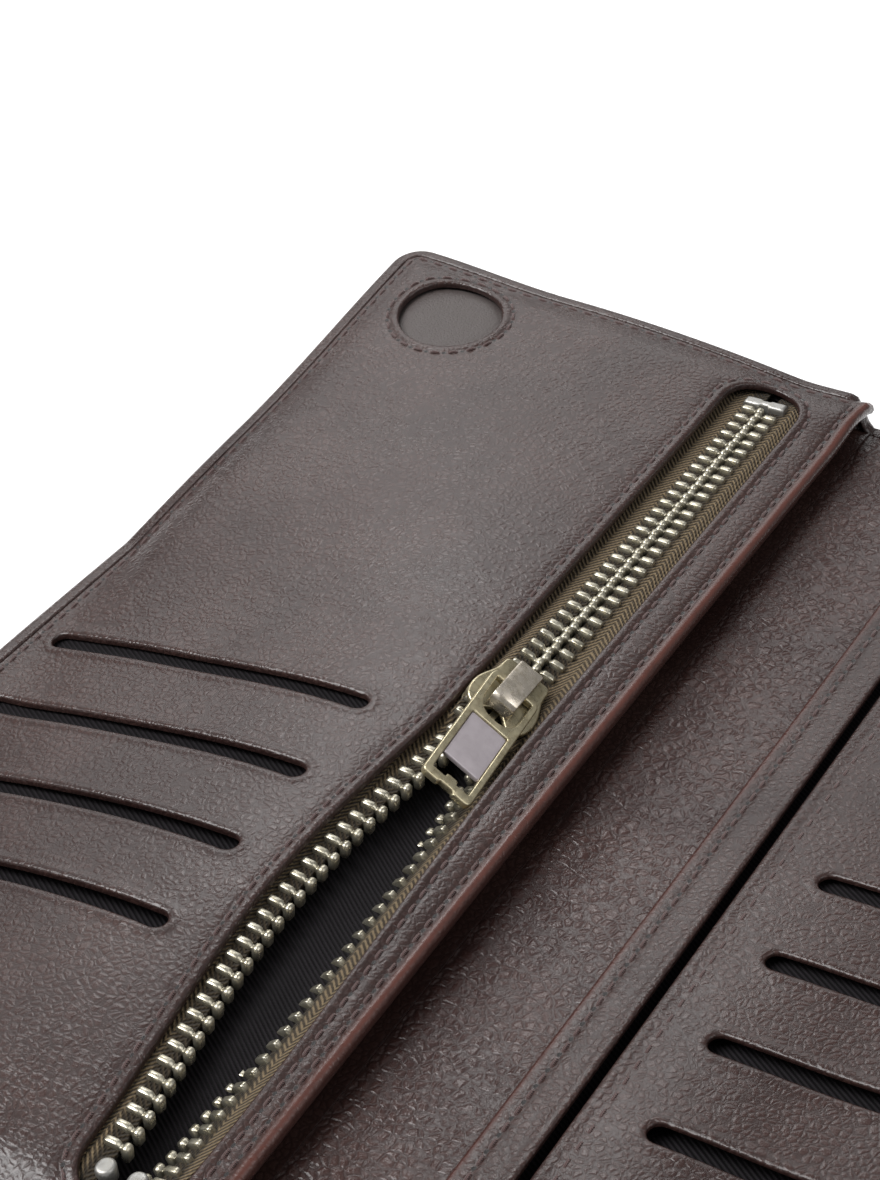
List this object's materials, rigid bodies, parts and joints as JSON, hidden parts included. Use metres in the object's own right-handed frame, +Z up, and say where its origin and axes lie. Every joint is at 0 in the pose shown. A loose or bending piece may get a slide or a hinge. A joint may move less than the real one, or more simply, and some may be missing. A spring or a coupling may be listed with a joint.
{
  "type": "zippered pouch",
  "caption": "Long bifold leather wallet lying open, with a zipped coin pocket and die-cut card slots in the left half, card slots and a slip pocket in the right, and a magnetic snap.",
  "frame": {"origin": "middle of the spine, on the table", "axes": "+X across the open wallet to the right half, +Y along the spine to the far end, +Z up"},
  "size_m": [0.206, 0.202, 0.0137],
  "materials": {
    "leather": "pebbled, half-matt dark brown",
    "gutter_leather": "pebbled, half-matt reddish brown",
    "lining": "black nylon twill",
    "zip_tape": "olive-brown woven tape",
    "antique_brass": "antique, lightly rubbed",
    "pull_plate": "dark polished",
    "magnet": "plated"
  },
  "bodies": {
    "spine": {"spine_cover": "leather", "spine_lining": "gutter_leather"},
    "left_half": {"left_cover": "leather", "left_bill_lining": "lining", "left_pocket_back": "leather", "left_magnet": "magnet", "left_magnet_cover": "leather", "left_card_pocket_1": "lining", "left_card_pocket_2": "lining", "left_card_pocket_3": "lining", "left_card_pocket_4": "lining", "left_panel": "leather", "coin_bag_back": "lining", "coin_bag_front": "lining", "zip_tape_left": "zip_tape", "zip_tape_right": "zip_tape", "zip_teeth_left": "antique_brass", "zip_teeth_right": "antique_brass", "zip_bottom_stop": "antique_brass", "zip_top_stop_left": "antique_brass", "zip_top_stop_right": "antique_brass"},
    "right_half": {"right_cover": "leather", "right_bill_lining": "lining", "right_pocket_back": "leather", "right_magnet": "magnet", "right_magnet_cover": "leather", "right_card_pocket_1": "lining", "right_card_pocket_2": "lining", "right_card_pocket_3": "lining", "right_card_pocket_4": "lining", "right_panel": "leather", "right_slip_lining": "lining"},
    "slider": {"slider_body": "antique_brass", "slider_bridge": "antique_brass"},
    "pull_tab": {"pull_frame": "antique_brass", "pull_plate": "pull_plate"}
  },
  "joints": [
    {"name": "left_fold", "type": "hinge", "parent": "spine", "child": "left_half", "pos_m": [-0.009, 0, 0.00155], "axis": [0, 1, 0], "range_deg": [0, 91]},
    {"name": "right_fold", "type": "hinge", "parent": "spine", "child": "right_half", "pos_m": [0.009, 0, 0.00155], "axis": [0, -1, 0], "range_deg": [0, 91]},
    {"name": "slider_run", "type": "slide", "parent": "left_half", "child": "slider", "axis": [0, 1, 0], "range_m": [-0.0875, 0.0762], "deforming": ["zip_tape_left", "zip_tape_right", "zip_teeth_left", "zip_teeth_right"]},
    {"name": "pull_swing", "type": "hinge", "parent": "slider", "child": "pull_tab", "pos_m": [-0.0242, 0.0062, 0.01198], "axis": [-1, 0, 0], "range_deg": [0, 180]}
  ]
}
